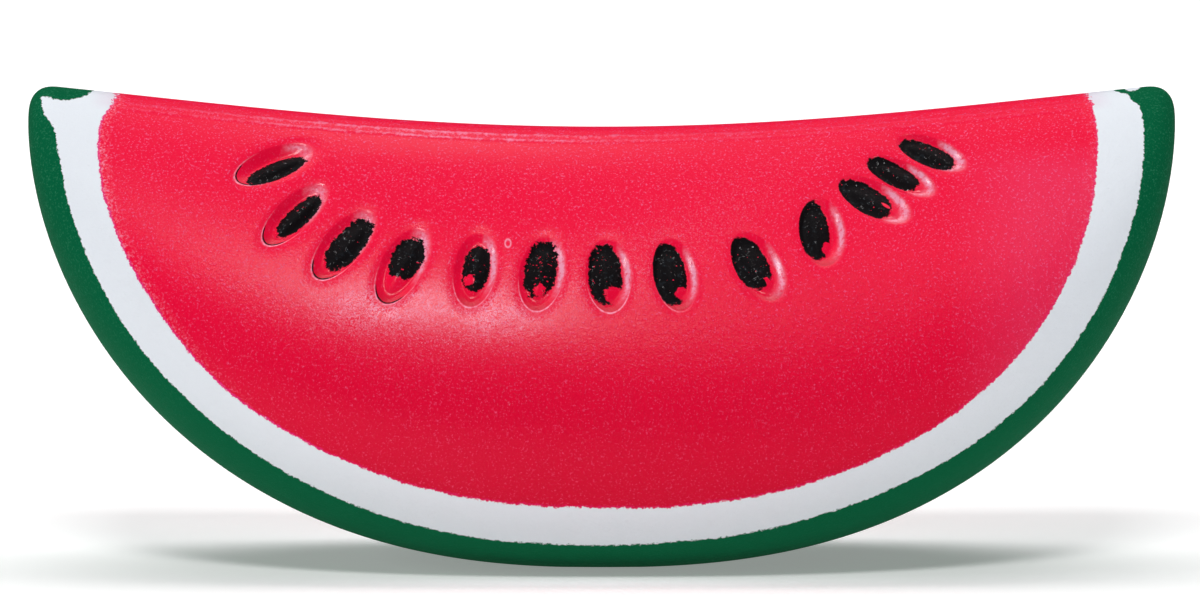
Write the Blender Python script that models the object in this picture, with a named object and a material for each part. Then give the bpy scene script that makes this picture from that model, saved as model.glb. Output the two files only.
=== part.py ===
"""A toy slice of watermelon, moulded in one piece from soft foam.

The slice is a wedge with its ridge on top and its rounded rind below. Thirteen seeds are
sunk into each of its two faces, and it stands on a small flat foot under the rind.

Run it with: blender --background --python part.py
"""

import math

import bmesh
import bpy
from mathutils import Matrix, Vector

MM = 0.001

# The outline from the front. Lengths are in millimetres, and heights are above the foot.
HALF_LENGTH = 60.0
TIP_LEVEL = 46.8
RIND_DROP = 47.1  # from the tips to where the rind would end, just below the foot
RIND_SIDE_POWER = 2.39  # how full the rind is at its sides: an ellipse has 2 for both powers
RIND_BASE_POWER = 1.88  # how full it is underneath
RIND_SKEW = 0.07  # the right-hand end is a little fuller than the left
SHOULDER_HEIGHT = 49.3  # the top edge at the shoulders, where its sag has run out
SHOULDER_LENGTH = 49.5
RIDGE_SAG = 3.4  # how much lower the top edge is at mid length
CORNER_LENGTH = 3.2
CORNER_POWER = 2.5

# The section across the slice.
RIDGE_RADIUS = 4.3
TIP_ROUNDING = 10.0  # how soon the ridge narrows towards the tips
FACE_SLOPE = 0.95  # sideways run of a face below the ridge, for each millimetre down
UNDER_ROLL = 0.88  # 1 would make the underside round, and less makes it flatter

# The seeds: along, height, turn in degrees, half length and half width.
SEEDS = (
    (-34.1, 42.8, 27, 4.5, 1.9),
    (-31.8, 37.8, 48, 4.7, 1.9),
    (-26.7, 34.8, 53, 4.8, 2.1),
    (-20.6, 32.7, 64, 4.7, 2.2),
    (-13.1, 32.3, 81, 4.3, 2.2),
    (-6.2, 31.9, 80, 4.3, 2.3),
    (0.7, 31.7, 93, 4.2, 2.3),
    (7.6, 31.8, 100, 4.2, 2.2),
    (16.2, 32.6, 117, 4.3, 2.3),
    (22.8, 36.0, 98, 4.1, 2.3),
    (28.3, 39.2, 146, 4.3, 2.0),
    (31.1, 41.5, 148, 4.1, 1.7),
    (34.3, 43.8, 151, 4.0, 1.8),
)
PIT_DEPTH = 1.2
DOME_LENGTH = 0.88  # of the pit's half length
DOME_WIDTH = 0.78  # of the pit's half width
DOME_ROOT = 1.0  # how far below the face a seed's middle lies
DOME_HEIGHT = 1.0

# How finely the shapes are divided.
RINGS = 46
RING_POINTS = 34
PIT_SEGMENTS = 16
PIT_RINGS = 8
DOME_SEGMENTS = 14
DOME_RINGS = 6
WELD_WIDTH = 0.04

FRONT = -1
BACK = 1

FLESH_RED = (0.80, 0.03, 0.07, 1.0)
FLESH_ROUGHNESS = 0.45


def ridge_height(x):
    """Height of the top edge: it sags at mid length and turns down into a corner at each tip."""
    crest = SHOULDER_HEIGHT - RIDGE_SAG * math.cos(0.5 * math.pi * x / SHOULDER_LENGTH)
    into_corner = max(0.0, (abs(x) - HALF_LENGTH) / CORNER_LENGTH + 1.0)
    corner = max(0.0, 1.0 - into_corner**CORNER_POWER) ** (1.0 / CORNER_POWER)
    return TIP_LEVEL + (crest - TIP_LEVEL) * corner


def rind_height(x):
    """Height of the rind's lowest line."""
    side_power = RIND_SIDE_POWER + RIND_SKEW * x / HALF_LENGTH
    bulge = max(0.0, 1.0 - abs(x / HALF_LENGTH) ** side_power) ** (1.0 / RIND_BASE_POWER)
    return TIP_LEVEL - RIND_DROP * bulge


def half_thickness(x, up):
    """How far a face stands from the middle plane, where up runs from 0 at the rind to 1 at the ridge."""
    height = ridge_height(x) - rind_height(x)
    down = 1.0 - up
    rounding = 2.0 * RIDGE_RADIUS / (height + TIP_ROUNDING)
    wedge = FACE_SLOPE**2 * down
    return height * math.sqrt(up**UNDER_ROLL * down * (rounding + wedge))


def face_point(x, z, side):
    """The point of one face at this place along the slice and this height."""
    low = rind_height(x)
    up = (z - low) / (ridge_height(x) - low)
    return Vector((x, side * half_thickness(x, up), z))


def face_frame(x, z, turn, side):
    """A frame on a face: its X runs along a seed, and its Z stands out of the face."""
    step = 0.1
    middle = face_point(x, z, side)
    across = face_point(x + step, z, side) - middle
    upward = face_point(x, z + step, side) - middle
    outward = across.cross(upward).normalized()
    if outward.y * side < 0.0:
        outward.negate()
    angle = math.radians(turn)
    level = (across - across.project(outward)).normalized()
    uphill = level.cross(outward) * side
    along = level * math.cos(angle) + uphill * math.sin(angle)
    rows = (along, outward.cross(along), outward)
    return Matrix.Translation(middle * MM) @ Matrix(rows).transposed().to_4x4()


def ball_mesh(name, segments, rings):
    """A ball of radius 1, with its poles on Z."""
    mesh = bpy.data.meshes.new(name)
    ball = bmesh.new()
    bmesh.ops.create_uvsphere(ball, u_segments=segments, v_segments=rings, radius=1.0)
    ball.to_mesh(mesh)
    ball.free()
    return mesh


def bend_to_slice(direction):
    """Takes a point of a ball, whose poles become the tips, to its place on the slice's skin."""
    x = HALF_LENGTH * direction.z
    ring = math.hypot(direction.x, direction.y)
    up = 0.5 if ring < 1e-6 else 0.5 * (1.0 + direction.x / ring)
    low = rind_height(x)
    height = ridge_height(x) - low
    y = math.copysign(half_thickness(x, up), direction.y)
    return Vector((x, y, low + up * height)) * MM


def make_body(collection, material):
    """The plain wedge, shaped from a ball and cut flat underneath to stand on."""
    mesh = ball_mesh("slice", RING_POINTS, RINGS)
    body = bmesh.new()
    body.from_mesh(mesh)
    for vertex in body.verts:
        vertex.co = bend_to_slice(vertex.co)
    everything = body.verts[:] + body.edges[:] + body.faces[:]
    cut = bmesh.ops.bisect_plane(
        body, geom=everything, plane_co=(0, 0, 0), plane_no=(0, 0, 1), clear_inner=True
    )
    rim = [item for item in cut["geom_cut"] if isinstance(item, bmesh.types.BMEdge)]
    bmesh.ops.contextual_create(body, geom=rim)
    bmesh.ops.recalc_face_normals(body, faces=body.faces[:])
    body.to_mesh(mesh)
    body.free()
    mesh.materials.append(material)
    slice_body = bpy.data.objects.new("slice", mesh)
    collection.objects.link(slice_body)
    return slice_body


def make_helpers(collection, mesh, matrices):
    """Copies of one mesh that only shape the body, and so aren't rendered."""
    for number, matrix in enumerate(matrices, start=1):
        helper = bpy.data.objects.new(f"{mesh.name}_{number:02d}", mesh)
        helper.matrix_world = matrix
        helper.display_type = "WIRE"
        helper.hide_render = True
        collection.objects.link(helper)


def seed_matrices(length_share, width_share, half_height, depth):
    """The places of all seeds on both faces, for a ball that becomes a pit or a seed."""
    matrices = []
    for side in (FRONT, BACK):
        for x, z, turn, half_length, half_width in SEEDS:
            size = (half_length * length_share, half_width * width_share, half_height)
            scale = Matrix.Diagonal((*size, 1.0 / MM)) * MM
            sink = Matrix.Translation((0.0, 0.0, -depth * MM))
            matrices.append(face_frame(x, z, turn, side) @ sink @ scale)
    return matrices


def combine(body, collection, operation):
    """Cuts the collection's helpers out of the body, or joins them to it."""
    boolean = body.modifiers.new(collection.name, "BOOLEAN")
    boolean.operation = operation
    boolean.operand_type = "COLLECTION"
    boolean.collection = collection
    boolean.solver = "EXACT"


def weld_slivers(body):
    """Draws together the hair-thin edges that the cuts leave."""
    weld = body.modifiers.new("weld", "WELD")
    weld.merge_threshold = WELD_WIDTH * MM


def new_collection(name):
    collection = bpy.data.collections.new(name)
    bpy.context.scene.collection.children.link(collection)
    return collection


def foam_material():
    """Soft painted foam in the red of the flesh."""
    material = bpy.data.materials.new("flesh_red_foam")
    material.use_nodes = True
    shader = material.node_tree.nodes["Principled BSDF"]
    shader.inputs["Base Color"].default_value = FLESH_RED
    shader.inputs["Roughness"].default_value = FLESH_ROUGHNESS
    shader.inputs["Metallic"].default_value = 0.0
    return material


def main():
    for old in list(bpy.data.objects):
        bpy.data.objects.remove(old)

    slice_parts = new_collection("toy_watermelon_slice")
    pits = new_collection("seed_pits")
    domes = new_collection("seed_domes")

    body = make_body(slice_parts, foam_material())
    pit = ball_mesh("pit", PIT_SEGMENTS, PIT_RINGS)
    make_helpers(pits, pit, seed_matrices(1.0, 1.0, PIT_DEPTH, 0.0))
    dome = ball_mesh("dome", DOME_SEGMENTS, DOME_RINGS)
    make_helpers(domes, dome, seed_matrices(DOME_LENGTH, DOME_WIDTH, DOME_HEIGHT, DOME_ROOT))

    combine(body, pits, "DIFFERENCE")
    combine(body, domes, "UNION")
    weld_slivers(body)
    body.data.shade_smooth()
    body.data.set_sharp_from_angle(angle=math.radians(30.0))


if __name__ == "__main__":
    main()
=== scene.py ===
"""Dresses a toy slice of watermelon, moulded in one piece from soft foam and painted by hand.

The skin follows the same rules as the plain solid that it covers. Thirteen seeds are pressed
into each face, and the flesh, pith, rind and seeds are painted on.
"""

import math

import bmesh
import bpy
import numpy as np
from mathutils import Matrix, Vector


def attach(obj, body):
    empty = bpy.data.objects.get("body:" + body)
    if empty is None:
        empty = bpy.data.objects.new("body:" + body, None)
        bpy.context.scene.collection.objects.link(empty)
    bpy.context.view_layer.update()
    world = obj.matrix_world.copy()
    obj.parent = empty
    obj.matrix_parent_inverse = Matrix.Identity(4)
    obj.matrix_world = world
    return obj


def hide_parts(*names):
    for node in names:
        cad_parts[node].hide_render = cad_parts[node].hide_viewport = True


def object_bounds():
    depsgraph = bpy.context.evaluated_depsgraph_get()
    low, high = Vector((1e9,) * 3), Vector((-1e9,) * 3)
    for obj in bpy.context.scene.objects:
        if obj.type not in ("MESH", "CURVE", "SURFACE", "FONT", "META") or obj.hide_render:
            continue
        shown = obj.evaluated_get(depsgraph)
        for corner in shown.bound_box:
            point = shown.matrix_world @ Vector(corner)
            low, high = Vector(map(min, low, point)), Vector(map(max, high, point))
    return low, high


bl_info = {
    "name": "Toy Watermelon Slice",
    "version": (1, 0, 0),
    "blender": (4, 5, 0),
    "location": "3D View > Sidebar > Toy Slice",
    "description": "Makes a moulded foam slice of watermelon with painted flesh, pith, rind and seeds",
    "category": "Add Mesh",
}

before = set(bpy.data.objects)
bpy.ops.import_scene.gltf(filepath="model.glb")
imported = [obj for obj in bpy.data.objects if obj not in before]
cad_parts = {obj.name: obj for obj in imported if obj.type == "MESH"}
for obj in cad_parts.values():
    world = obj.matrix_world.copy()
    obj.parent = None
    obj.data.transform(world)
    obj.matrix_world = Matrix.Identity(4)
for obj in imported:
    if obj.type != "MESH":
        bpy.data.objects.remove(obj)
cad_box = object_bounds()

MM = 0.001
SKIN = "slice_skin"
FRONT = -1
BACK = 1

# The seeds, in millimetres and degrees: where each lies along the slice and its height, its
# turn, and its hollow's half length and half width. Then come two ellipses, each as its middle
# along and across the hollow and its half length and half width: the black paint, and a bare
# patch that the paint has missed.
SEEDS = (
    (-34.1, 42.7, 27, 4.5, 2.0, -0.1, -0.75, 3.5, 1.25, 0.0, 0.0, 0.0, 0.0),
    (-31.8, 37.8, 48, 4.7, 1.9, 0.3, -0.35, 3.3, 1.15, -2.9, 0.7, 0.5, 0.5),
    (-26.7, 34.8, 53, 4.8, 2.1, 0.45, -0.3, 3.5, 1.6, -2.9, 0.6, 0.4, 0.4),
    (-20.6, 32.7, 64, 4.7, 2.2, 1.05, 0.0, 2.6, 1.6, -1.7, -0.2, 0.5, 0.6),
    (-13.1, 32.3, 81, 4.3, 2.2, 0.35, -0.1, 2.65, 1.4, -1.15, 0.43, 0.6, 0.55),
    (-6.2, 31.9, 80, 4.3, 2.3, 0.7, 0.2, 3.3, 1.65, -1.8, -0.1, 0.7, 0.6),
    (0.7, 31.7, 93, 4.2, 2.3, 0.3, 0.35, 3.5, 1.75, -2.1, -0.45, 1.0, 0.95),
    (7.6, 31.8, 100, 4.2, 2.2, 0.3, 0.6, 3.6, 1.75, -2.1, -0.45, 0.75, 0.85),
    (16.2, 32.6, 117, 4.3, 2.3, 0.9, 0.6, 3.2, 1.85, -1.9, -0.2, 0.6, 0.3),
    (22.8, 36.0, 98, 4.1, 2.3, 0.5, 0.8, 3.5, 1.6, -1.9, -0.45, 0.8, 0.65),
    (28.3, 39.2, 146, 4.3, 2.0, 1.0, 0.4, 3.2, 1.72, -1.35, -0.15, 0.6, 0.2),
    (31.1, 41.5, 148, 4.1, 1.7, 1.0, 0.1, 3.1, 1.33, 0.0, 0.0, 0.0, 0.0),
    (34.3, 43.8, 151, 4.0, 1.8, 0.4, 0.3, 3.2, 1.48, 0.0, 0.0, 0.0, 0.0),
)
SEED_SIZES = (
    "half_length",
    "half_width",
    "paint_along",
    "paint_across",
    "paint_half_length",
    "paint_half_width",
    "bare_along",
    "bare_across",
    "bare_half_length",
    "bare_half_width",
)

# How far the paints reach in from the outline, as (height, reach) in millimetres up each side.
GREEN_LEFT = (
    (3, 3.8), (8, 4.45), (15, 4.6), (27, 4.15), (36, 3.8), (45, 3.2), (46.5, 2.8), (47.6, 1.9), (50, 1.2),
)
GREEN_RIGHT = (
    (3, 3.8), (8, 4.6), (15, 4.2), (24, 3.8), (36, 3.55), (47, 3.6), (48.4, 3.9), (48.9, 4.7), (50, 5.2),
)
RED_LEFT = (
    (7, 8.1), (12, 8.7), (19, 8.3), (30, 8.0), (37, 7.5), (46, 7.6), (47.6, 8.2), (48.4, 8.9), (50, 9.3),
)
RED_RIGHT = (
    (7, 8.1), (12, 8.45), (21, 8.1), (33, 7.9), (42, 8.2), (47, 8.5), (48.4, 8.9), (50, 9.5),
)
REACH_HEIGHT = 50.0
REACH_MOST = 10.0

# Distances from a seed count its hollow's rim as 1.
FAR_FROM_SEEDS = 9.0
SEED_LAYER = 2.5  # millimetres above or below a seed's face that still belong to it
SEED_PAINT_ROUNDNESS = 2.3  # 2 is an ellipse, and more is squarer
BARE_ROUNDNESS = 2.0
SEED_BLEND = 0.32  # millimetres over which a seed's foot runs into its hollow

# How finely the skin is divided: rings from pole to pole, and degrees round a ring from its top.
CAP_LEVEL = 0.92
CAP_RINGS = 18
MIDDLE_RINGS = 148
CROWN_END = 9.0
MOULD_LINES_END = 27.0
CROWN_STEP = 3.0
MOULD_LINES_STEP = 0.75
SIDE_STEPS = 54
FINER_BANDS = ((0.0, 1.45), (0.0, 1.2), (0.86, 1.08))  # round each seed, divided once for each band
OUTLINE_STEPS = 400

# The textures that break up the paint: scale to the metre, detail, roughness and distortion.
TEXTURES = {
    "teeth": (2300.0, 4.0, 0.65, 0.0),
    "drift": (220.0, 2.0, 0.5, 0.0),
    "crumbs": (2600.0, 4.0, 0.65, 0.0),
    "patches": (900.0, 3.0, 0.6, 0.0),
    "pinholes": (3300.0, 2.0, 0.5, 0.0),
    "blotches": (90.0, 3.0, 0.5, 0.0),
    "grain": (4400.0, 2.0, 0.6, 0.0),
    "glitter": (5200.0, 2.0, 0.6, 0.0),
    "creases": (1900.0, 3.0, 0.6, 1.5),
    "weave": (1300.0, 2.0, 0.5, 0.0),
    "sheen": (500.0, 3.0, 0.5, 0.0),
}

# Marks on the flesh, in millimetres: along, height, half length and half height.
RING_MARK = (-9.7, 34.8, 0.3, 0.38)
# Two patches of painted highlight sparkle, in the same terms.
SPARKLE_PATCHES = ((-22.5, 28.7, 5.5, 2.1), (-11.2, 27.8, 4.5, 2.0))
HIGHLIGHT = (-17.0, 24.0)  # its middle along the slice, and its width

# The studio, in metres, and the camera.
FLOOR_HALF_SIZE = 4.0
FLOOR_DROP = 0.00005
LIGHT_AIM = (0.0, 0.0, 0.03)
TOP_SPREAD = 80.0
SKY_COLOUR = (0.97, 0.98, 1.0, 1.0)
CAMERA_ELEVATION = 6.0
CAMERA_TARGET = (-0.17, 0.0, 27.6)  # millimetres
CAMERA_DISTANCE = 1.0
CAMERA_LENS = 286.0
CAMERA_CLIP = 0.05


# --- settings -------------------------------------------------------------------------------


def length(name, description, default):
    """A length in metres, given here in millimetres."""
    return bpy.props.FloatProperty(
        name=name, description=description, default=default * MM, unit="LENGTH", precision=5
    )


def share(name, description, default, highest=10.0):
    return bpy.props.FloatProperty(
        name=name, description=description, default=default, min=0.0, max=highest, subtype="FACTOR"
    )


def colour(name, description, default):
    return bpy.props.FloatVectorProperty(
        name=name, description=description, default=default, size=3, min=0.0, max=1.0, subtype="COLOR"
    )


def power(name, description, default):
    return bpy.props.FloatProperty(name=name, description=description, default=default, unit="POWER")


class SliceShape(bpy.types.PropertyGroup):
    """The form of the slice, in the same terms as its solid."""

    half_length: length("Half length", "From the middle to a tip", 60.0)
    tip_level: length("Tip level", "Height of the two tips", 46.8)
    rind_drop: length("Rind drop", "From the tips to the lowest line of the rind", 47.1)
    rind_side_power: share("Rind side power", "How full the rind is at its sides", 2.39)
    rind_base_power: share("Rind base power", "How full the rind is underneath", 1.88)
    rind_skew: share("Rind skew", "How much fuller the right-hand end is", 0.07)
    shoulder_height: length("Shoulder height", "The top edge where its sag has run out", 49.3)
    shoulder_length: length("Shoulder length", "From the middle to a shoulder", 49.5)
    ridge_sag: length("Ridge sag", "How much lower the top edge is at mid length", 3.4)
    corner_length: length("Corner length", "How far in from a tip its corner is rounded", 3.2)
    corner_power: share("Corner power", "How square the corners are", 2.5)
    ridge_radius: length("Ridge radius", "The rounding of the top edge", 4.3)
    tip_rounding: length("Tip rounding", "How soon the ridge narrows towards the tips", 10.0)
    face_slope: share("Face slope", "Sideways run of a face below the ridge", 0.95)
    under_roll: share("Under roll", "How round the underside is", 0.88)


class ReliefShape(bpy.types.PropertyGroup):
    """The small forms that are moulded into the skin."""

    hollow_depth: length("Hollow depth", "How deep a seed's hollow is", 0.94)
    bowl_fullness: share("Bowl fullness", "Power of a hollow's side: 0.5 is upright, 1 slopes", 1.0)
    rim_roll: length("Rim roll", "How far the skin dips round a hollow", 0.12)
    seed_top: length("Seed top", "How far below the face a seed's top lies", 0.12)
    seed_rise: length("Seed rise", "How far a seed stands up from its hollow", 0.8)
    seed_crest: length("Seed crest", "Height of the keel along a seed", 0.14)
    seed_length: share("Seed length", "Of its hollow's length", 0.84)
    seed_width: share("Seed width", "Of its paint's width", 1.06)
    bead_height: length("Bead height", "Height of the two mould lines below the top edge", 0.07)
    bead_drop: length("Bead drop", "How far the first mould line lies below the top edge", 0.82)
    bead_gap: length("Bead gap", "From the first mould line to the second", 0.46)
    bead_width: length("Bead width", "Half width of a mould line", 0.15)


class PaintColours(bpy.types.PropertyGroup):
    """The colours of the paints, some of them painted shade and painted highlights."""

    flesh: colour("Flesh", "The red of the flesh", (0.93, 0.002, 0.046))
    # Painted shade: the flesh's red darkened towards the rind, where the face turns away from the light.
    deep_flesh: colour("Deep flesh", "The red of the flesh towards the rind", (0.66, 0.001, 0.028))
    pith: colour("Pith", "The white of the pith", (0.84, 0.88, 0.94))
    # Painted shade: the pith's white greyed underneath, where it turns away from the light.
    deep_pith: colour("Deep pith", "The white of the pith underneath", (0.71, 0.74, 0.77))
    rind: colour("Rind", "The green of the rind", (0.0, 0.112, 0.043))
    # Partly scratches and partly painted glints on the green.
    worn_rind: colour("Worn rind", "The paler green of the rind's fine scratches", (0.022, 0.2, 0.095))
    seed: colour("Seed", "The black of the seeds", (0.003, 0.002, 0.003))
    # Painted highlight: the blue-grey glints on the black.
    dull_seed: colour("Dull seed", "The blue-grey bloom on the black", (0.019, 0.03, 0.039))
    # Painted shade: the dark red in the low ends of the hollows, whose walls face down away from the
    # light.
    stain: colour("Stain", "The deep red that has run into the ends of the hollows", (0.42, 0.0, 0.012))
    overspray: colour("Overspray", "Thin red over white", (0.88, 0.10, 0.26))
    # Partly thin red and partly painted highlight: laid on the lips and walls of the hollows, in the
    # highlight band and on the mould lines.
    pale: colour("Pale", "The thinnest red, on the lips and walls of the hollows", (0.98, 0.36, 0.52))
    fringe: colour("Fringe", "The purplish edge of the red", (0.80, 0.02, 0.22))
    dusting: colour("Dusting", "White dusted with red along the top edge", (0.80, 0.66, 0.78))
    floor: colour("Floor", "The studio floor", (0.88, 0.88, 0.88))


class StudioLights(bpy.types.PropertyGroup):
    """How bright the studio is."""

    key: power("Key", "Power of the softbox above the camera", 32.0)
    side: power("Side", "Power of the low upright softbox at the left", 7.0)
    top: power("Top", "Power of the wide softbox overhead", 26.0)
    sky: share("Sky", "Strength of the even light from all round", 0.05)
    table: share("Table", "Strength of the light that the floor itself gives", 0.26)


# --- node trees -----------------------------------------------------------------------------


class Field:
    """A value on its way through a node tree, with the usual arithmetic."""

    def __init__(self, tree, socket):
        self.tree = tree
        self.socket = socket

    def __add__(self, other):
        return maths(self.tree, "ADD", self, other)

    def __radd__(self, other):
        return maths(self.tree, "ADD", other, self)

    def __sub__(self, other):
        return maths(self.tree, "SUBTRACT", self, other)

    def __rsub__(self, other):
        return maths(self.tree, "SUBTRACT", other, self)

    def __mul__(self, other):
        return maths(self.tree, "MULTIPLY", self, other)

    def __rmul__(self, other):
        return maths(self.tree, "MULTIPLY", other, self)

    def __truediv__(self, other):
        return maths(self.tree, "DIVIDE", self, other)

    def __rtruediv__(self, other):
        return maths(self.tree, "DIVIDE", other, self)

    def __pow__(self, other):
        return maths(self.tree, "POWER", self, other)

    def __neg__(self):
        return maths(self.tree, "MULTIPLY", self, -1.0)

    def size(self):
        return maths(self.tree, "ABSOLUTE", self)

    def at_least(self, lowest):
        return maths(self.tree, "MAXIMUM", self, lowest)

    def at_most(self, highest):
        return maths(self.tree, "MINIMUM", self, highest)

    def clamped(self):
        return maths(self.tree, "ADD", self, 0.0, clamp=True)

    def less_than(self, limit):
        return maths(self.tree, "LESS_THAN", self, limit)

    def root(self):
        return maths(self.tree, "SQRT", self)


def add_node(tree, kind, **settings):
    """A new node, set down in rows so that the tree can be read."""
    node = tree.nodes.new(kind)
    for name, value in settings.items():
        setattr(node, name, value)
    row, column = divmod(len(tree.nodes), 16)
    node.location = (column * 200, -row * 260)
    return node


def feed(tree, socket, value):
    """Gives a socket another node's output, or a plain value."""
    if isinstance(value, Field):
        value = value.socket
    if isinstance(value, bpy.types.NodeSocket):
        tree.links.new(value, socket)
    else:
        socket.default_value = value


def maths(tree, operation, *values, clamp=False):
    node = add_node(tree, "ShaderNodeMath", operation=operation, use_clamp=clamp)
    for socket, value in zip(node.inputs, values):
        feed(tree, socket, value)
    return Field(tree, node.outputs[0])


def vector_maths(tree, operation, *values, output="Vector"):
    node = add_node(tree, "ShaderNodeVectorMath", operation=operation)
    for socket, value in zip(node.inputs, values):
        feed(tree, socket, value)
    return Field(tree, node.outputs[output])


def dot(tree, one, other):
    return vector_maths(tree, "DOT_PRODUCT", one, other, output="Value")


def split(tree, vector):
    """The three parts of a vector."""
    node = add_node(tree, "ShaderNodeSeparateXYZ")
    feed(tree, node.inputs[0], vector)
    return [Field(tree, output) for output in node.outputs]


def joined(tree, x, y, z):
    node = add_node(tree, "ShaderNodeCombineXYZ")
    for socket, value in zip(node.inputs, (x, y, z)):
        feed(tree, socket, value)
    return Field(tree, node.outputs[0])


def bell(offset, width):
    """A smooth bump that is 1 where offset is 0 and dies away over its width."""
    ratio = offset / width
    return maths(offset.tree, "EXPONENT", -(ratio * ratio))


def rising(value, start, width):
    """0 up to the start, and 1 from a width further on."""
    return ((value - start) / width).clamped()


def fading(value, end, width):
    """1 until a width short of the end, and 0 from the end on."""
    return ((end - value) / width).clamped()


def flat_ring(one, other):
    """How far outside a ring of radius 1 a place is."""
    return (one * one + other * other).root() - 1.0


def profile_curve(tree, factor, points):
    """Reads a curve through (height, reach) points, in metres."""
    node = add_node(tree, "ShaderNodeFloatCurve")
    curve = node.mapping.curves[0]
    for point in list(curve.points)[2:]:
        curve.points.remove(point)
    places = [(height / REACH_HEIGHT, reach / REACH_MOST) for height, reach in points]
    curve.points[0].location = places[0]
    curve.points[1].location = places[-1]
    for place in places[1:-1]:
        curve.points.new(*place)
    node.mapping.update()
    feed(tree, node.inputs["Value"], factor)
    return Field(tree, node.outputs[0]) * (REACH_MOST * MM)


# --- the form of the slice ------------------------------------------------------------------


def ridge_height(tree, x, size):
    """Height of the top edge: it sags at mid length and turns down into a corner at each tip."""
    turn = x / size["shoulder_length"] * (0.5 * math.pi)
    crest = size["shoulder_height"] - size["ridge_sag"] * maths(tree, "COSINE", turn)
    into_corner = ((x.size() - size["half_length"]) / size["corner_length"] + 1.0).at_least(0.0)
    rest = (1.0 - into_corner ** size["corner_power"]).at_least(0.0)
    corner = rest ** (1.0 / size["corner_power"])
    return size["tip_level"] + (crest - size["tip_level"]) * corner


def rind_height(x, size):
    """Height of the rind's lowest line."""
    reach = x / size["half_length"]
    side_power = size["rind_side_power"] + size["rind_skew"] * reach
    rest = (1.0 - reach.size() ** side_power).at_least(0.0)
    return size["tip_level"] - size["rind_drop"] * rest ** (1.0 / size["rind_base_power"])


def half_thickness(height, up, size):
    """How far a face stands from the middle plane, with up from 0 at the rind to 1 at the ridge."""
    down = 1.0 - up
    rounding = 2.0 * size["ridge_radius"] / (height + size["tip_rounding"])
    wedge = size["face_slope"] * size["face_slope"] * down
    return height * (up ** size["under_roll"] * down * (rounding + wedge)).root()


def outline_distance(tree, x, z, size):
    """How far in from the outline a place is, as seen from the front."""
    past_tips = 8.0 * MM  # the outline goes on straight up from each tip
    line = add_node(tree, "GeometryNodeMeshLine")
    line.inputs["Count"].default_value = OUTLINE_STEPS + 3
    index = Field(tree, add_node(tree, "GeometryNodeInputIndex").outputs[0])
    turn = ((index - 1.0) / OUTLINE_STEPS).at_least(0.0).at_most(1.0) * math.pi
    outline_x = -size["half_length"] * maths(tree, "COSINE", turn)
    beyond = (index - (OUTLINE_STEPS + 2) * 0.5).size() - OUTLINE_STEPS * 0.5
    outline_z = rind_height(outline_x, size) + beyond.at_least(0.0) * past_tips
    bend = add_node(tree, "GeometryNodeSetPosition")
    feed(tree, bend.inputs["Geometry"], line.outputs[0])
    feed(tree, bend.inputs["Position"], joined(tree, outline_x, 0.0, outline_z))
    near = add_node(tree, "GeometryNodeProximity", target_element="EDGES")
    feed(tree, near.inputs[0], bend.outputs[0])
    feed(tree, near.inputs["Sample Position"], joined(tree, x, 0.0, z))
    return Field(tree, near.outputs["Distance"])


def store(tree, geometry, name, value, kind="FLOAT", selection=None):
    """Keeps a value on the skin's points, for its paint to read."""
    node = add_node(tree, "GeometryNodeStoreNamedAttribute", data_type=kind, domain="POINT")
    feed(tree, node.inputs["Geometry"], geometry)
    node.inputs["Name"].default_value = name
    if selection is not None:
        feed(tree, node.inputs["Selection"], selection)
    feed(tree, node.inputs["Value"], value)
    return node.outputs["Geometry"]


def stored(tree, name, kind="FLOAT"):
    node = add_node(tree, "GeometryNodeInputNamedAttribute", data_type=kind)
    node.inputs["Name"].default_value = name
    return Field(tree, node.outputs["Attribute"])


def seed_value(tree, seeds, number, name, kind="FLOAT"):
    """What one of the seed places says under this name."""
    node = add_node(tree, "GeometryNodeSampleIndex", data_type=kind, domain="POINT")
    feed(tree, node.inputs["Geometry"], seeds)
    feed(tree, node.inputs["Value"], stored(tree, name, kind))
    feed(tree, node.inputs["Index"], number)
    return Field(tree, node.outputs[0])


def seed_relief(tree, rho, along, across, seed, size):
    """How far the skin rises or sinks at a seed, which sits in its hollow like an egg in a cup."""
    inside = 1.0 - rho * rho
    bowl = -size["hollow_depth"] * inside.at_least(0.0) ** size["bowl_fullness"]
    dome_along = along / (seed["half_length"] * size["seed_length"])
    dome_across = (across - seed["paint_across"] * 0.9) / (seed["paint_half_width"] * size["seed_width"])
    reach = dome_along * dome_along + dome_across * dome_across
    lift = (1.0 - reach).at_least(0.0).root()
    keel = (1.0 - dome_across.size() * 2.5).at_least(0.0) * size["seed_crest"]
    level = (size["seed_rise"] + keel) * lift - size["seed_rise"] - size["seed_top"]
    seated = maths(tree, "SMOOTH_MAX", bowl, level, SEED_BLEND * MM)
    dip = bell((rho - 1.0).at_least(0.0), 0.2)
    return seated - size["rim_roll"] * dip


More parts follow.
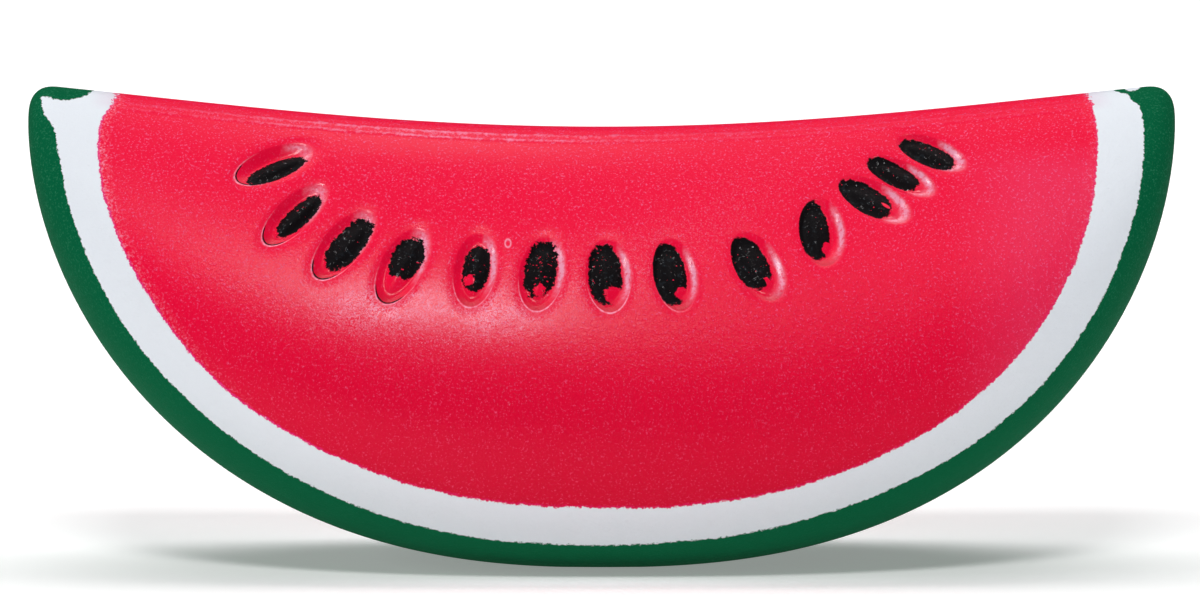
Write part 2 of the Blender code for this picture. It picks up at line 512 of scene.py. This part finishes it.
def press_seeds(tree, geometry, seeds, size):
    """Goes through the seed places one by one, and works out the relief and the paint of each."""
    count = add_node(tree, "GeometryNodeAttributeDomainSize", component="MESH")
    feed(tree, count.inputs[0], seeds)
    geometry = store(tree, geometry, "relief", 0.0)
    for name in ("seed_rho", "seed_paint", "seed_bare"):
        geometry = store(tree, geometry, name, FAR_FROM_SEEDS)
    for name in ("seed_place", "seed_side"):
        geometry = store(tree, geometry, name, (0.0, 0.0, 0.0), "FLOAT_VECTOR")
    start = add_node(tree, "GeometryNodeRepeatInput")
    end = add_node(tree, "GeometryNodeRepeatOutput")
    start.pair_with_output(end)
    feed(tree, start.inputs["Iterations"], count.outputs["Point Count"])
    feed(tree, start.inputs["Geometry"], geometry)
    geometry = start.outputs["Geometry"]
    number = start.outputs["Iteration"]

    position = add_node(tree, "GeometryNodeInputPosition").outputs[0]
    seed = {name: seed_value(tree, seeds, number, name) for name in SEED_SIZES}
    centre = seed_value(tree, seeds, number, "centre", "FLOAT_VECTOR")
    offset = vector_maths(tree, "SUBTRACT", position, centre)
    along, across, outward = (
        dot(tree, offset, seed_value(tree, seeds, number, direction, "FLOAT_VECTOR"))
        for direction in ("along", "across", "outward")
    )
    share_along = along / seed["half_length"]
    share_across = across / seed["half_width"]
    rho = (share_along * share_along + share_across * share_across).root()
    rho = rho + (outward.size() - SEED_LAYER * MM).at_least(0.0) / MM
    relief = seed_relief(tree, rho, along, across, seed, size)
    reach = {}
    least = 0.02 * MM  # keeps a patch without a size from dividing by nothing
    for name, roundness in (("paint", SEED_PAINT_ROUNDNESS), ("bare", BARE_ROUNDNESS)):
        on_length = (along - seed[name + "_along"]) / seed[name + "_half_length"].at_least(least)
        on_width = (across - seed[name + "_across"]) / seed[name + "_half_width"].at_least(least)
        total = on_length.size() ** roundness + on_width.size() ** roundness
        reach[name] = total ** (1.0 / roundness)

    nearer = rho.less_than(stored(tree, "seed_rho"))
    geometry = store(tree, geometry, "relief", stored(tree, "relief").at_most(relief))
    geometry = store(tree, geometry, "seed_paint", reach["paint"], selection=nearer)
    bare = reach["bare"].at_most(FAR_FROM_SEEDS)
    geometry = store(tree, geometry, "seed_bare", bare, selection=nearer)
    rightward, _, upward = split(tree, offset)
    place = joined(tree, share_along, share_across, 0.0)
    side = joined(tree, rightward / seed["half_width"], upward / seed["half_width"], 0.0)
    geometry = store(tree, geometry, "seed_place", place, "FLOAT_VECTOR", selection=nearer)
    geometry = store(tree, geometry, "seed_side", side, "FLOAT_VECTOR", selection=nearer)
    geometry = store(tree, geometry, "seed_rho", stored(tree, "seed_rho").at_most(rho))
    feed(tree, end.inputs["Geometry"], geometry)
    return end.outputs["Geometry"]


def mould_lines(tree, x, below, size):
    """Two fine raised lines just below the top edge, where the halves of the mould met."""
    wander = add_node(tree, "ShaderNodeTexNoise", noise_dimensions="1D")
    feed(tree, wander.inputs["W"], x)
    wander.inputs["Scale"].default_value = 160.0
    sway = (Field(tree, wander.outputs[0]) - 0.5) * (0.25 * MM)
    first = bell(below + sway - size["bead_drop"], size["bead_width"])
    second = bell(below + sway - size["bead_drop"] - size["bead_gap"], size["bead_width"])
    return (first + second) * fading(x.size(), 51.5 * MM, 2.0 * MM)


def paint_margins(tree, x, y, z, below, size):
    """How far a place lies inside the edge of the green paint, and inside that of the red."""
    distance = outline_distance(tree, x, z, size)
    factor = z / (REACH_HEIGHT * MM)
    on_right = 1.0 - x.less_than(0.0)
    margins = []
    for left_points, right_points in ((GREEN_LEFT, GREEN_RIGHT), (RED_LEFT, RED_RIGHT)):
        left = profile_curve(tree, factor, left_points)
        right = profile_curve(tree, factor, right_points)
        margins.append(distance - (left + (right - left) * on_right))
    green, red = margins
    # The green also runs a little way along the top edge: as a leaf at the left, which is kept to
    # that side, and as a loop at the right, which is kept to the top.
    leaf = (x + 56.4 * MM) / (3.3 * MM)
    leaf_margin = below - (1.0 - leaf * leaf) * (1.1 * MM)
    green = green.at_most(leaf_margin + (x.size() + x) * 10.0)
    under = (below - 2.0 * MM).at_least(0.0)
    loop = flat_ring((x - 55.0 * MM) / (1.4 * MM), y / (1.5 * MM)) * (1.4 * MM) + under
    hole = flat_ring((x - 55.5 * MM) / (0.8 * MM), y / (1.1 * MM)) * (-0.8 * MM) - under
    green = green.at_most(loop).at_least(hole)
    return green, red


def form_tree():
    """Bends a ball, whose poles become the tips, into the slice, and moulds the seeds into it."""
    tree = bpy.data.node_groups.new("Slice form", "GeometryNodeTree")
    tree.is_modifier = True
    face = tree.interface
    face.new_socket("Geometry", in_out="INPUT", socket_type="NodeSocketGeometry")
    face.new_socket("Geometry", in_out="OUTPUT", socket_type="NodeSocketGeometry")
    face.new_socket("Seed places", in_out="INPUT", socket_type="NodeSocketObject")
    face.new_socket("Paint", in_out="INPUT", socket_type="NodeSocketMaterial")
    for group in (SliceShape, ReliefShape):
        for name in group.__annotations__:
            socket = face.new_socket(name, in_out="INPUT", socket_type="NodeSocketFloat")
            socket.description = group.__annotations__[name].keywords["description"]
    entry = add_node(tree, "NodeGroupInput")
    size = {
        output.name: Field(tree, output)
        for output in entry.outputs
        if output.type == "VALUE"
    }

    ball_x, ball_y, ball_z = split(tree, add_node(tree, "GeometryNodeInputPosition").outputs[0])
    x = ball_z * size["half_length"]
    ring = (ball_x * ball_x + ball_y * ball_y).root().at_least(1e-6)
    up = 0.5 + 0.5 * (ball_x / ring)
    low = rind_height(x, size)
    height = ridge_height(tree, x, size) - low
    y = half_thickness(height, up, size) * maths(tree, "SIGN", ball_y)
    z = (low + up * height).at_least(0.0)
    bend = add_node(tree, "GeometryNodeSetPosition")
    feed(tree, bend.inputs["Geometry"], entry.outputs["Geometry"])
    feed(tree, bend.inputs["Position"], joined(tree, x, y, z))

    x, y, z = split(tree, add_node(tree, "GeometryNodeInputPosition").outputs[0])
    below = ridge_height(tree, x, size) - z
    geometry = store(tree, bend.outputs[0], "below_ridge", below)
    below = stored(tree, "below_ridge")
    green, red = paint_margins(tree, x, y, z, below, size)
    geometry = store(tree, geometry, "green_margin", green)
    geometry = store(tree, geometry, "red_margin", red)

    places = add_node(tree, "GeometryNodeObjectInfo")
    feed(tree, places.inputs["Object"], entry.outputs["Seed places"])
    geometry = press_seeds(tree, geometry, places.outputs["Geometry"], size)
    beads = mould_lines(tree, x, below, size)
    geometry = store(tree, geometry, "bead", beads)
    rise = stored(tree, "relief") + beads * size["bead_height"]
    push = add_node(tree, "GeometryNodeSetPosition")
    feed(tree, push.inputs["Geometry"], geometry)
    outward = add_node(tree, "GeometryNodeInputNormal").outputs[0]
    lift = add_node(tree, "ShaderNodeVectorMath", operation="SCALE")
    feed(tree, lift.inputs[0], outward)
    feed(tree, lift.inputs["Scale"], rise)
    feed(tree, push.inputs["Offset"], lift.outputs[0])

    whole = add_node(tree, "GeometryNodeRealizeInstances")
    feed(tree, whole.inputs[0], push.outputs[0])
    painted = add_node(tree, "GeometryNodeSetMaterial")
    feed(tree, painted.inputs["Geometry"], whole.outputs[0])
    feed(tree, painted.inputs["Material"], entry.outputs["Paint"])
    leave = add_node(tree, "NodeGroupOutput")
    feed(tree, leave.inputs[0], painted.outputs[0])
    return tree


def formed(tree, blank, scene, seeds=None, paint=None):
    """The mesh that the form tree makes of a blank."""
    holder = bpy.data.objects.new("blank", blank)
    scene.collection.objects.link(holder)
    modifier = holder.modifiers.new("form", "NODES")
    modifier.node_group = tree
    values = {"Seed places": seeds, "Paint": paint}
    for group in (scene.slice_shape, scene.slice_relief):
        for name in type(group).__annotations__:
            values[name] = getattr(group, name)
    for item in tree.interface.items_tree:
        if item.in_out == "INPUT" and item.name in values:
            modifier[item.identifier] = values[item.name]
    graph = bpy.context.evaluated_depsgraph_get()
    mesh = bpy.data.meshes.new_from_object(holder.evaluated_get(graph))
    bpy.data.objects.remove(holder)
    return mesh


# --- the skin -------------------------------------------------------------------------------


def ball_blank():
    """A ball of radius 1 with its poles on Z, divided more finely at the poles and the mould lines."""
    cap_end = math.acos(CAP_LEVEL)
    cap = [math.cos(cap_end * step / CAP_RINGS) for step in range(1, CAP_RINGS)]
    middle = list(np.linspace(CAP_LEVEL, -CAP_LEVEL, MIDDLE_RINGS))
    levels = cap + middle + [-level for level in reversed(cap)]
    crown = np.arange(0.0, CROWN_END, CROWN_STEP)
    mould_lines_turns = np.arange(CROWN_END, MOULD_LINES_END, MOULD_LINES_STEP)
    side = np.linspace(MOULD_LINES_END, 180.0, SIDE_STEPS)
    half = [*crown, *mould_lines_turns, *side]
    turns = half + [-turn for turn in reversed(half[1:-1])]
    vertices = [(0.0, 0.0, 1.0)]
    for level in levels:
        ring = math.sqrt(1.0 - level * level)
        for turn in turns:
            angle = math.radians(turn)
            vertices.append((ring * math.cos(angle), ring * math.sin(angle), level))
    vertices.append((0.0, 0.0, -1.0))
    around = len(turns)
    last = len(vertices) - 1
    faces = []
    for step in range(around):
        after = (step + 1) % around
        faces.append((0, 1 + after, 1 + step))
        foot = 1 + (len(levels) - 1) * around
        faces.append((last, foot + step, foot + after))
        for ring in range(len(levels) - 1):
            start = 1 + ring * around
            faces.append((start + step, start + after, start + around + after, start + around + step))
    mesh = bpy.data.meshes.new(SKIN)
    mesh.from_pydata(vertices, [], faces)
    return mesh


def seed_places(skin):
    """Finds each seed's place and directions on the two faces of the plain skin."""
    sight = bpy.data.objects.new("sight", skin)
    bpy.context.scene.collection.objects.link(sight)
    bpy.context.view_layer.update()
    reach = 1.5 * MM
    places = []
    for side in (FRONT, BACK):

        def face_point(x, z):
            found, point, _, _ = sight.ray_cast(Vector((x, side * 0.1, z)), Vector((0, -side, 0)))
            if not found:
                raise RuntimeError("a seed lies off the slice")
            return point

        for seed in SEEDS:
            x = seed[0] * MM
            z = seed[1] * MM
            level = face_point(x + reach, z) - face_point(x - reach, z)
            rise = face_point(x, z + reach) - face_point(x, z - reach)
            outward = level.cross(rise).normalized() * -side
            level.normalize()
            uphill = level.cross(outward) * side
            angle = math.radians(seed[2])
            along = level * math.cos(angle) + uphill * math.sin(angle)
            across = along.cross(outward) * side
            places.append((face_point(x, z), along, across, outward))
    bpy.data.objects.remove(sight)
    return places


def seed_points(places):
    """The seed places as points that carry their directions and sizes, for the form tree."""
    mesh = bpy.data.meshes.new("seed_places")
    mesh.from_pydata([place[0] for place in places], [], [])
    for column, name in enumerate(("centre", "along", "across", "outward")):
        attribute = mesh.attributes.new(name, "FLOAT_VECTOR", "POINT")
        attribute.data.foreach_set("vector", [part for place in places for part in place[column]])
    for column, name in enumerate(SEED_SIZES, start=3):
        attribute = mesh.attributes.new(name, "FLOAT", "POINT")
        attribute.data.foreach_set("value", [seed[column] * MM for seed in SEEDS] * 2)
    points = bpy.data.objects.new("seed_places", mesh)
    bpy.context.scene.collection.objects.link(points)
    return points


def nearness(skin, places):
    """For each face of the skin, how near it lies to a seed: 1 is the rim of a hollow."""
    centres = np.empty(len(skin.polygons) * 3)
    skin.polygons.foreach_get("center", centres)
    centres = centres.reshape(-1, 3)
    nearest = np.full(len(centres), FAR_FROM_SEEDS)
    for number, (point, along, across, outward) in enumerate(places):
        seed = SEEDS[number % len(SEEDS)]
        offset = centres - np.array(point)
        rho = np.hypot(offset @ along / (seed[3] * MM), offset @ across / (seed[4] * MM))
        rho[np.abs(offset @ outward) > SEED_LAYER * MM] = FAR_FROM_SEEDS
        nearest = np.minimum(nearest, rho)
    return nearest


def divide(blank, chosen):
    """Cuts every chosen face of the blank into four."""
    work = bmesh.new()
    work.from_mesh(blank)
    work.faces.ensure_lookup_table()
    edges = {edge for index in chosen for edge in work.faces[index].edges}
    bmesh.ops.subdivide_edges(work, edges=list(edges), cuts=1, use_grid_fill=True, use_single_edge=True)
    work.to_mesh(blank)
    work.free()


def fit_inside(mesh, box):
    """Draws the skin in, by a hair where it needs it, to lie within the solid's own box."""
    places = np.empty(len(mesh.vertices) * 3)
    mesh.vertices.foreach_get("co", places)
    places = places.reshape(-1, 3)
    lowest, highest = np.array(box[0]), np.array(box[1])
    places *= np.minimum(1.0, highest / places.max(axis=0))
    places[:, :2] *= np.minimum(1.0, lowest[:2] / places[:, :2].min(axis=0))
    places[:, 2] = np.maximum(places[:, 2], lowest[2])
    mesh.vertices.foreach_set("co", places.ravel())
    mesh.update()


class MakeSkin(bpy.types.Operator):
    """Make the painted skin of the slice, with its seeds, and set it over the plain solid"""

    bl_idname = "toy_slice.make_skin"
    bl_label = "Slice skin"
    bl_options = {"REGISTER", "UNDO"}

    def execute(self, context):
        scene = context.scene
        tree = form_tree()
        blank = ball_blank()
        places = None
        for inner, outer in FINER_BANDS:
            plain = formed(tree, blank, scene)
            places = places or seed_places(plain)
            near = nearness(plain, places)
            divide(blank, np.flatnonzero((near > inner) & (near < outer)))
            bpy.data.meshes.remove(plain)
        seeds = seed_points(places)
        paint = painted_foam(scene.slice_colours)
        mesh = formed(tree, blank, scene, seeds, paint)
        mesh.name = SKIN
        fit_inside(mesh, cad_box)
        mesh.shade_smooth()
        bpy.data.objects.remove(seeds)
        skin = bpy.data.objects.new(SKIN, mesh)
        scene.collection.objects.link(skin)
        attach(skin, "root")
        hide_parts("slice")
        return {"FINISHED"}


# --- the paint ------------------------------------------------------------------------------


def noise(tree, place, scale, detail=3.0, roughness=0.5, distortion=0.0):
    node = add_node(tree, "ShaderNodeTexNoise")
    feed(tree, node.inputs["Vector"], place)
    node.inputs["Scale"].default_value = scale
    node.inputs["Detail"].default_value = detail
    node.inputs["Roughness"].default_value = roughness
    node.inputs["Distortion"].default_value = distortion
    return Field(tree, node.outputs[0])


def mixed(tree, factor, under, over):
    """One colour laid over another."""
    node = add_node(tree, "ShaderNodeMix", data_type="RGBA")
    feed(tree, node.inputs["Factor"], factor)
    feed(tree, node.inputs["A"], under)
    feed(tree, node.inputs["B"], over)
    return Field(tree, node.outputs[2])


def surface_value(tree, name, output="Fac"):
    node = add_node(tree, "ShaderNodeAttribute", attribute_name=name)
    return Field(tree, node.outputs[output])


class Surface:
    """What the paint goes by at each place on the skin, and the textures that break it up."""

    def __init__(self, tree):
        self.tree = tree
        place = add_node(tree, "ShaderNodeTexCoord").outputs["Object"]
        self.along, _, self.height = split(tree, place)
        self.green_margin = surface_value(tree, "green_margin")
        self.red_margin = surface_value(tree, "red_margin")
        self.bead = surface_value(tree, "bead")
        self.rho = surface_value(tree, "seed_rho")
        self.paint_reach = surface_value(tree, "seed_paint")
        self.bare_reach = surface_value(tree, "seed_bare")
        self.seed_along, self.seed_across, _ = split(tree, surface_value(tree, "seed_place", "Vector"))
        self.seed_right, self.seed_up, _ = split(tree, surface_value(tree, "seed_side", "Vector"))

        self.texture = {name: noise(tree, place, *values) for name, values in TEXTURES.items()}
        self.grain = self.texture["grain"]
        self.glitter = self.texture["glitter"]
        self.teeth = self.texture["teeth"] - 0.5
        self.crumbs = self.texture["crumbs"] - 0.5
        self.patches = self.texture["patches"] - 0.5

        self.ridge = fading(surface_value(tree, "below_ridge"), 1.7 * MM, 0.8 * MM)
        # Painted shade: how far the red and white are darkened towards the bottom, where the faces turn
        # down away from the light.
        self.deep = fading(self.height, 34.0 * MM, 24.0 * MM)
        self.upper = rising(self.height, 16.0 * MM, 26.0 * MM)
        self.left_side = fading(self.along, -20.0 * MM, 15.0 * MM)
        self.outside = rising(self.rho, 1.0, 0.15)
        self.hollow = fading(self.rho, 1.04, 0.04)
        wall = bell(self.rho - 0.86, 0.13) * (self.seed_right * 1.6 - 0.5).clamped()
        self.right_wall = wall * (1.0 + self.seed_up * 0.6).clamped()

        drift = self.texture["drift"] - 0.5
        green_edge = self.green_margin + self.teeth * (0.65 * MM) + drift * (0.3 * MM)
        self.green = (0.5 - green_edge / (0.1 * MM)).clamped()
        red_teeth = self.teeth * (0.75 + self.ridge * 1.9) * MM
        self.red_edge = self.red_margin + red_teeth + drift * (0.4 * MM)
        self.red = (0.5 + self.red_edge / (0.12 * MM)).clamped()

        middle, width = HIGHLIGHT
        shine = bell(self.along - middle * MM, width * MM) * (1.0 - self.green)
        self.shine = shine * rising(self.height, 4.0 * MM, 16.0 * MM)


def black_paint(here):
    """Where the black lies on the seeds: torn at its edges, with pinholes and missed patches."""
    tree = here.tree
    flake_place = joined(tree, here.seed_along * 9.0, here.seed_across * 2.0, here.along * 150.0)
    flakes = noise(tree, flake_place, 1.0, 3.0, 0.6) - 0.5
    torn = 0.42 + fading(here.along, 7.0 * MM, 10.0 * MM) * 0.44
    ragged = (here.crumbs * 0.5 + here.patches * 0.25 + flakes * 0.5) * torn
    worn = bell(here.along + 7.0 * MM, 9.0 * MM)
    pinholes = (0.73 - worn * 0.06 - here.texture["pinholes"]) / 0.02 + 0.5
    missed = ((here.bare_reach + ragged * 3.0 - 1.0) / 0.1 + 0.5).clamped()
    black = ((1.0 - here.paint_reach - ragged) / 0.05 + 0.5).clamped() * missed * pinholes.clamped()
    black = black * ((1.03 - here.rho + here.crumbs * 0.1) / 0.02).clamped()
    # A thin dark line of black runs round the low ends of the hollows at the left.
    low_end = fading(here.seed_along, -0.62, 0.1) * fading(here.along, -15.0 * MM, 4.0 * MM)
    dark_rim_line = (bell(here.rho - 0.965, 0.026) + here.crumbs * 1.2 - 0.5) / 0.1
    return black.at_least(dark_rim_line.clamped() * low_end)


def painted_highlight_on_hollows(here):
    """Painted highlight on the lips and right-hand walls of the hollows, where the light from the left
    catches them.
    """
    lip = bell(here.rho - 1.01, 0.022) * (-0.2 - here.seed_along * 1.4).clamped()
    lip = lip * fading(here.along, 10.0 * MM, 6.0 * MM) * 0.8
    on_right = rising(here.along, -22.0 * MM, 10.0 * MM)
    lit_wall = here.right_wall * (0.5 + on_right * 0.8)
    return ((lit_wall + lip) * (0.95 + here.crumbs * 4.0)).clamped()


def ring_mark(here):
    """The one small ring in the red near the middle."""
    along, height, half_length, half_height = RING_MARK
    across = (here.along - along * MM) / (half_length * MM)
    upward = (here.height - height * MM) / (half_height * MM)
    return bell(flat_ring(across, upward), 0.25)


def sparkle_patch_at(here, along, height, half_length, half_height):
    lengthwise = bell(here.along - along * MM, half_length * MM)
    return lengthwise * bell(here.height - height * MM, half_height * MM)


def painted_highlight_sparkle(here):
    """Pale flecks and creases painted where the highlight lies: painted highlight, standing for light
    caught by the grain and wrinkles of the skin.
    """
    middle = (here.along - HIGHLIGHT[0] * MM) / (22.0 * MM)
    band = bell(here.height - (28.0 + middle * middle * 5.0) * MM, 3.6 * MM) * here.shine
    flecks = ((here.glitter - 0.55) * 9.0).clamped() * band * here.outside * 0.8
    first, second = (sparkle_patch_at(here, *place) for place in SPARKLE_PATCHES)
    strength = first + second * 0.8 + band * 0.12
    creases = bell(here.texture["creases"] - 0.5, 0.045)
    return flecks, creases * strength * (0.7 + here.patches * 2.0) * here.outside


def flesh_paint(here, paint):
    """The red: darkened towards the rind as painted shade, thinner where it is worn, with painted shade
    in the low ends of the hollows and painted highlights on their walls, on the mould lines and in the
    highlight band.
    """
    # Painted shade: the red darkens towards the rind.
    flesh = mixed(here.tree, here.deep, paint["flesh"], paint["deep_flesh"])
    bead = (here.bead * 0.8 + here.crumbs * 2.4 + here.patches * 1.5 - 0.42).clamped()
    # Painted highlight along the mould lines, stronger in the highlight band.
    bead_highlight = bead * (0.25 + here.shine * 0.7)
    # A fine speckle of thin red, stronger high up, that also stands as painted sparkle of light on the
    # grain.
    speckle_and_sparkle = (here.grain - 0.57).clamped() * (2.2 + here.upper * 4.6)
    right_end = rising(here.along, 36.0 * MM, 8.0 * MM) * fading(here.height, 45.0 * MM, 3.0 * MM)
    # Thin red over the flesh, with the painted sparkle and the mould lines' painted highlight mixed in.
    thin_red_and_sheen = here.texture["blotches"] * 0.02 + speckle_and_sparkle * (0.4 + here.outside * 0.6)
    thin_red_and_sheen = thin_red_and_sheen + bead_highlight + right_end * 0.2
    flesh = mixed(here.tree, thin_red_and_sheen, flesh, paint["overspray"])

    flecks, creases = painted_highlight_sparkle(here)
    near_edge = fading(here.red_edge, 1.5 * MM, 1.5 * MM) * here.upper * (0.25 + here.left_side * 0.75)
    streaks = (here.teeth * 2.5 + (here.grain - 0.5) * 3.0 + 0.15).clamped() * near_edge * 1.3
    small_marks = flecks + ring_mark(here) + bead_highlight * here.shine + streaks
    # Painted highlights on the walls and lips of the hollows, in the highlight band and on the mould
    # lines, together with the ring mark and the thin red near the red's edge.
    pale = painted_highlight_on_hollows(here) + creases + small_marks * 0.75
    flesh = mixed(here.tree, pale.clamped(), flesh, paint["pale"])

    fringe = bell(here.red_edge - 0.08 * MM, 0.12 * MM) * (0.4 + here.left_side * 0.5)
    flesh = mixed(here.tree, fringe, flesh, paint["fringe"])
    low_rim = bell(here.seed_along + 0.98, 0.3)
    # Painted shade in the low ends of the hollows, on their downward side.
    stain = fading(here.rho, 0.99, 0.04) * low_rim * (-0.3 - here.seed_up * 0.6).clamped() * 0.9
    return mixed(here.tree, stain, flesh, paint["stain"])


def pith_paint(here, paint):
    """The white, greyed underneath as painted shade, and dusted with red along the top edge."""
    # Painted shade: the white greys towards the bottom.
    pith = mixed(here.tree, here.deep * 0.6, paint["pith"], paint["deep_pith"])
    near_red = rising(here.red_margin, -2.5 * MM, 2.5 * MM)
    dusting = here.ridge * near_red * (0.35 + here.grain * 0.5)
    return mixed(here.tree, dusting, pith, paint["dusting"])


def rind_paint(here, paint):
    """The green, with fine pale scratches, many more high up, that also stand as painted glints."""
    scratches_and_glints = (here.grain - 0.54).clamped() * (1.0 + here.upper * 4.0)
    return mixed(here.tree, scratches_and_glints, paint["rind"], paint["worn_rind"])


def seed_paint(here, paint):
    """The black, with blue-grey patches painted as glints of light on its lumps."""
    seed_glint_patches = rising(here.patches + here.crumbs, 0.1, 0.1) * 0.28
    return mixed(here.tree, seed_glint_patches, paint["seed"], paint["dull_seed"])


def fine_relief(here, black):
    """The grain of the foam and of its paints, in thousandths of a millimetre, as a bump."""
    weave = here.texture["weave"]
    coarse = (3.6 - here.shine * 2.6) * (1.0 - here.hollow * 0.85)
    relief = (here.grain * 16.0 + weave * 14.0) * coarse + (here.glitter - 0.6).at_least(0.0) * 120.0
    relief = relief + here.red * 8.0 + here.green * 10.0
    relief = relief + black * (12.0 + here.crumbs * 45.0 + here.patches * 60.0)
    bump = add_node(here.tree, "ShaderNodeBump")
    bump.inputs["Strength"].default_value = 1.0
    bump.inputs["Distance"].default_value = 0.001 * MM
    feed(here.tree, bump.inputs["Height"], relief)
    return bump.outputs[0]


def finish_of_paints(here, black):
    """How rough the paints are, and where a thin varnish lies over them."""
    glints = rising(here.crumbs, 0.1, 0.06)
    rough = 0.36 + (here.texture["sheen"] - 0.5) * 0.1 + (here.grain - 0.5) * 0.3 - here.shine * 0.04
    rough = rough + (0.9 - rough) * here.green
    rough = rough + (0.6 - glints * 0.4 - rough) * black
    varnish = here.hollow * (0.1 + here.right_wall * 0.9) + here.shine * (1.0 - here.hollow) * 0.08
    varnish = varnish + (glints * 0.85 - varnish) * black
    return rough, varnish


def painted_foam(colours):
    """Four paints over soft foam: red flesh, white pith, green rind and black seeds."""
    material = bpy.data.materials.new("painted_foam")
    material.use_nodes = True
    tree = material.node_tree
    tree.nodes.clear()
    here = Surface(tree)
    paint = {name: (*getattr(colours, name), 1.0) for name in type(colours).__annotations__}
    black = black_paint(here)
    colour_here = mixed(tree, here.red, pith_paint(here, paint), flesh_paint(here, paint))
    colour_here = mixed(tree, here.green, colour_here, rind_paint(here, paint))
    colour_here = mixed(tree, black, colour_here, seed_paint(here, paint))
    bump = fine_relief(here, black)
    rough, varnish = finish_of_paints(here, black)

    shader = add_node(tree, "ShaderNodeBsdfPrincipled")
    feed(tree, shader.inputs["Base Color"], colour_here)
    feed(tree, shader.inputs["Roughness"], rough)
    feed(tree, shader.inputs["Normal"], bump)
    feed(tree, shader.inputs["Coat Weight"], varnish)
    feed(tree, shader.inputs["Coat Normal"], bump)
    shader.inputs["Coat Roughness"].default_value = 0.15
    shader.inputs["Coat IOR"].default_value = 1.65
    shader.inputs["Specular IOR Level"].default_value = 0.065
    leave = add_node(tree, "ShaderNodeOutputMaterial")
    feed(tree, leave.inputs["Surface"], shader.outputs[0])
    return material


# --- the stage ------------------------------------------------------------------------------


def floor_material(tint, glow):
    """A white table that is lit a little from below."""
    material = bpy.data.materials.new("studio_floor")
    material.use_nodes = True
    shader = material.node_tree.nodes["Principled BSDF"]
    shader.inputs["Base Color"].default_value = (*tint, 1.0)
    shader.inputs["Roughness"].default_value = 0.9
    shader.inputs["Specular IOR Level"].default_value = 0.0
    shader.inputs["Emission Color"].default_value = (1.0, 1.0, 1.0, 1.0)
    shader.inputs["Emission Strength"].default_value = glow
    return material


def add_softbox(name, place, aim, width, height, power):
    """A soft light of this size, turned to face its aim."""
    light = bpy.data.lights.new(name, "AREA")
    light.shape = "RECTANGLE"
    light.size = width
    light.size_y = height
    light.energy = power
    lamp = bpy.data.objects.new(name, light)
    lamp.location = place
    lamp.rotation_euler = (Vector(aim) - Vector(place)).to_track_quat("-Z", "Y").to_euler()
    bpy.context.scene.collection.objects.link(lamp)
    return lamp


class MakeStage(bpy.types.Operator):
    """Make the plain studio: a pale floor, soft lights and the camera"""

    bl_idname = "toy_slice.make_stage"
    bl_label = "Studio"
    bl_options = {"REGISTER", "UNDO"}

    def execute(self, context):
        scene = context.scene
        lights = scene.slice_lights
        mesh = bpy.data.meshes.new("studio_floor")
        ground = bmesh.new()
        bmesh.ops.create_grid(ground, x_segments=1, y_segments=1, size=FLOOR_HALF_SIZE)
        ground.to_mesh(mesh)
        ground.free()
        mesh.transform(Matrix.Translation((0.0, 0.0, -FLOOR_DROP)))
        mesh.materials.append(floor_material(scene.slice_colours.floor, lights.table))
        floor = bpy.data.objects.new("studio_floor", mesh)
        scene.collection.objects.link(floor)

        add_softbox("key_light", (-0.1, -1.75, 2.1), LIGHT_AIM, 0.75, 0.47, lights.key)
        add_softbox("side_light", (-1.88, -0.68, 0.6), LIGHT_AIM, 0.2, 1.1, lights.side)
        top_light = add_softbox("top_light", (0.0, 1.0, 2.2), (0.0, 1.0, 0.0), 4.0, 2.1, lights.top)
        top_light.data.spread = math.radians(TOP_SPREAD)
        world = bpy.data.worlds.new("studio")
        world.use_nodes = True
        sky = world.node_tree.nodes["Background"]
        sky.inputs["Color"].default_value = SKY_COLOUR
        sky.inputs["Strength"].default_value = lights.sky
        scene.world = world
        scene.view_settings.view_transform = "Standard"

        elevation = math.radians(CAMERA_ELEVATION)
        back = Vector((0.0, -math.cos(elevation), math.sin(elevation)))
        lens = bpy.data.cameras.new("camera")
        lens.lens = CAMERA_LENS
        lens.clip_start = CAMERA_CLIP
        camera = bpy.data.objects.new("camera", lens)
        camera.location = Vector(CAMERA_TARGET) * MM + back * CAMERA_DISTANCE
        camera.rotation_euler = (-back).to_track_quat("-Z", "Y").to_euler()
        scene.collection.objects.link(camera)
        scene.camera = camera
        return {"FINISHED"}


class ToySlicePanel(bpy.types.Panel):
    """Lists what can be made"""

    bl_idname = "VIEW3D_PT_toy_slice"
    bl_label = "Toy Watermelon Slice"
    bl_space_type = "VIEW_3D"
    bl_region_type = "UI"
    bl_category = "Toy Slice"

    def draw(self, context):
        layout = self.layout
        layout.operator(MakeSkin.bl_idname)
        layout.operator(MakeStage.bl_idname)
        scene = context.scene
        for group in (scene.slice_shape, scene.slice_relief, scene.slice_colours, scene.slice_lights):
            box = layout.box()
            for name in type(group).__annotations__:
                box.prop(group, name)


CLASSES = (SliceShape, ReliefShape, PaintColours, StudioLights, MakeSkin, MakeStage, ToySlicePanel)


def register():
    for made in CLASSES:
        bpy.utils.register_class(made)
    bpy.types.Scene.slice_shape = bpy.props.PointerProperty(type=SliceShape)
    bpy.types.Scene.slice_relief = bpy.props.PointerProperty(type=ReliefShape)
    bpy.types.Scene.slice_colours = bpy.props.PointerProperty(type=PaintColours)
    bpy.types.Scene.slice_lights = bpy.props.PointerProperty(type=StudioLights)


def unregister():
    del bpy.types.Scene.slice_lights
    del bpy.types.Scene.slice_colours
    del bpy.types.Scene.slice_relief
    del bpy.types.Scene.slice_shape
    for made in reversed(CLASSES):
        bpy.utils.unregister_class(made)


def main():
    register()
    bpy.ops.toy_slice.make_skin()
    bpy.ops.toy_slice.make_stage()


if __name__ == "__main__":
    main()
